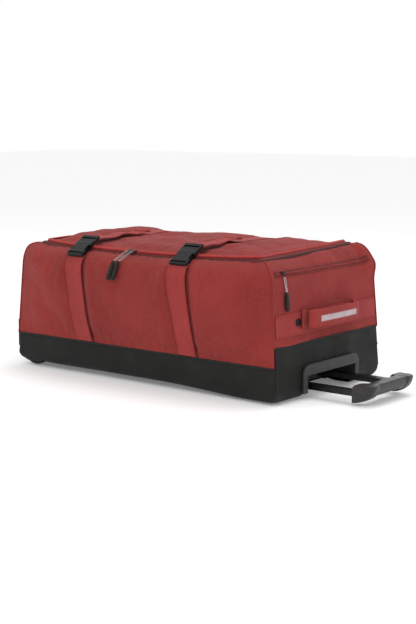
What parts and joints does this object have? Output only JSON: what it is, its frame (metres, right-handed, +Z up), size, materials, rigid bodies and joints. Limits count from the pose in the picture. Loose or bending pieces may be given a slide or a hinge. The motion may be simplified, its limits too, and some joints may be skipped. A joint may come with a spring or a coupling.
{
  "type": "rolling duffel bag",
  "caption": "Soft-sided wheeled duffel lying flat, black moulded base, zipped lid under buckled straps, end carry handle and telescopic trolley handle part extended.",
  "frame": {"origin": "on the ground under the middle of the bag with its trolley handle part extended", "axes": "+X along the bag towards the trolley handle, -Y towards the buckled front, +Z up"},
  "size_m": [0.931, 0.4887, 0.322],
  "materials": {
    "red_fabric": "fine ripstop weave, matte, muted red",
    "red_webbing": "ribbed webbing and zip tape, a brighter red",
    "black_coated_fabric": "heavy coated fabric, slight sheen",
    "black_plastic": "moulded, fine grain",
    "grey_plastic": "moulded, satin, dark grey",
    "soft_rubber": "moulded zip grips",
    "tyre_rubber": "solid wheel tread",
    "bright_steel": "bright, lightly brushed",
    "black_metal": "black anodised or painted",
    "reflective_tape": "pale retroreflective tape",
    "cover_board": "pressed sheet inside the bag"
  },
  "bodies": {
    "root": {"base_end_wall": "black_coated_fabric", "base_tub": "black_coated_fabric", "buckle_socket_left": "black_plastic", "buckle_socket_right": "black_plastic", "end_band": "red_webbing", "end_pocket_zip": "red_webbing", "eyelet": "black_metal", "front_panel": "red_fabric", "guide_tube_far": "black_metal", "guide_tube_near": "black_metal", "handle_anchor_far": "red_webbing", "handle_anchor_near": "red_webbing", "handle_cup": "grey_plastic", "handle_end_panel": "red_fabric", "main_zip": "red_webbing", "rear_panel": "red_fabric", "skid_rail_far": "black_plastic", "skid_rail_near": "black_plastic", "strap_lower_left": "red_webbing", "strap_lower_right": "red_webbing", "strap_rear_left": "red_webbing", "strap_rear_right": "red_webbing", "trolley_cover": "cover_board", "wheel_axle_far": "bright_steel", "wheel_axle_near": "bright_steel", "wheel_end_panel": "black_coated_fabric", "wheel_housing_far": "black_plastic", "wheel_housing_near": "black_plastic"},
    "wheel_near": {"wheel_tyre_near": "tyre_rubber", "wheel_hub_near": "grey_plastic", "wheel_bearing_near": "bright_steel"},
    "wheel_far": {"wheel_tyre_far": "tyre_rubber", "wheel_hub_far": "grey_plastic", "wheel_bearing_far": "bright_steel"},
    "trolley_stage1": {"stage1_tube_near": "black_metal", "stage1_tube_far": "black_metal"},
    "trolley_stage2": {"stage2_rod_near": "black_metal", "stage2_rod_far": "black_metal", "grip_upper": "grey_plastic", "grip_lower": "grey_plastic"},
    "release": {"release_trigger": "black_plastic", "release_rod_near": "bright_steel", "release_rod_far": "bright_steel"},
    "lid": {"lid_panel": "red_fabric", "lid_piping": "red_webbing"},
    "strap_left": {"strap_upper_left": "red_webbing", "buckle_prongs_left": "black_plastic"},
    "strap_right": {"strap_upper_right": "red_webbing", "buckle_prongs_right": "black_plastic"},
    "slider_left": {"zip_slider_main_left": "black_metal"},
    "slider_right": {"zip_slider_main_right": "black_metal"},
    "slider_pocket": {"zip_slider_pocket": "black_metal"},
    "pull_left": {"pull_link_main_left": "bright_steel", "pull_grip_main_left": "soft_rubber"},
    "pull_right": {"pull_link_main_right": "bright_steel", "pull_grip_main_right": "soft_rubber"},
    "pull_pocket": {"pull_link_pocket": "bright_steel", "pull_grip_pocket": "soft_rubber"},
    "carry_handle": {"grab_handle": "red_webbing", "reflective_strip": "reflective_tape"}
  },
  "joints": [
    {"name": "wheel_near_spin", "type": "hinge", "parent": "root", "child": "wheel_near", "pos_m": [-0.4285, -0.169, 0.036], "axis": [0, 1, 0], "continuous": true},
    {"name": "wheel_far_spin", "type": "hinge", "parent": "root", "child": "wheel_far", "pos_m": [-0.4285, 0.169, 0.036], "axis": [0, 1, 0], "continuous": true},
    {"name": "trolley_stage1_slide", "type": "slide", "parent": "root", "child": "trolley_stage1", "axis": [1, 0, 0], "range_m": [0, 0.2]},
    {"name": "trolley_stage2_slide", "type": "slide", "parent": "trolley_stage1", "child": "trolley_stage2", "axis": [1, 0, 0], "range_m": [-0.173, 0.04]},
    {"name": "release_trigger_squeeze", "type": "slide", "parent": "trolley_stage2", "child": "release", "axis": [1, 0, 0], "range_m": [0, 0.004], "stiffness_N_per_m": 600},
    {"name": "lid_open", "type": "hinge", "parent": "root", "child": "lid", "pos_m": [0, 0.16395, 0.299], "axis": [-1, 0, 0], "range_deg": [0, 110]},
    {"name": "buckle_left_release", "type": "slide", "parent": "lid", "child": "strap_left", "axis": [0, 0.829, 0.5592], "range_m": [0, 0.03]},
    {"name": "buckle_right_release", "type": "slide", "parent": "lid", "child": "strap_right", "axis": [0, 0.829, 0.5592], "range_m": [0, 0.03]},
    {"name": "zip_slider_left_run", "type": "slide", "parent": "root", "child": "slider_left", "axis": [1, 0, 0], "range_m": [-0.078, 0]},
    {"name": "zip_slider_right_run", "type": "slide", "parent": "root", "child": "slider_right", "axis": [1, 0, 0], "range_m": [0, 0.104]},
    {"name": "zip_pull_left_swing", "type": "hinge", "parent": "slider_left", "child": "pull_left", "pos_m": [-0.107, -0.19957, 0.29676], "axis": [-1, 0, 0], "range_deg": [0, 130]},
    {"name": "zip_pull_right_swing", "type": "hinge", "parent": "slider_right", "child": "pull_right", "pos_m": [-0.093, -0.19957, 0.29672], "axis": [-1, 0, 0], "range_deg": [0, 130]},
    {"name": "pocket_slider_run", "type": "slide", "parent": "root", "child": "slider_pocket", "axis": [0, 1, 0], "range_m": [0, 0.3]},
    {"name": "pocket_pull_swing", "type": "hinge", "parent": "slider_pocket", "child": "pull_pocket", "pos_m": [0.28866, -0.15213, 0.26325], "axis": [0, -1, 0], "range_deg": [0, 140]},
    {"name": "carry_handle_tip", "type": "hinge", "parent": "root", "child": "carry_handle", "pos_m": [0.30363, 0, 0.1715], "axis": [0, 1, 0], "range_deg": [-15, 15]}
  ]
}
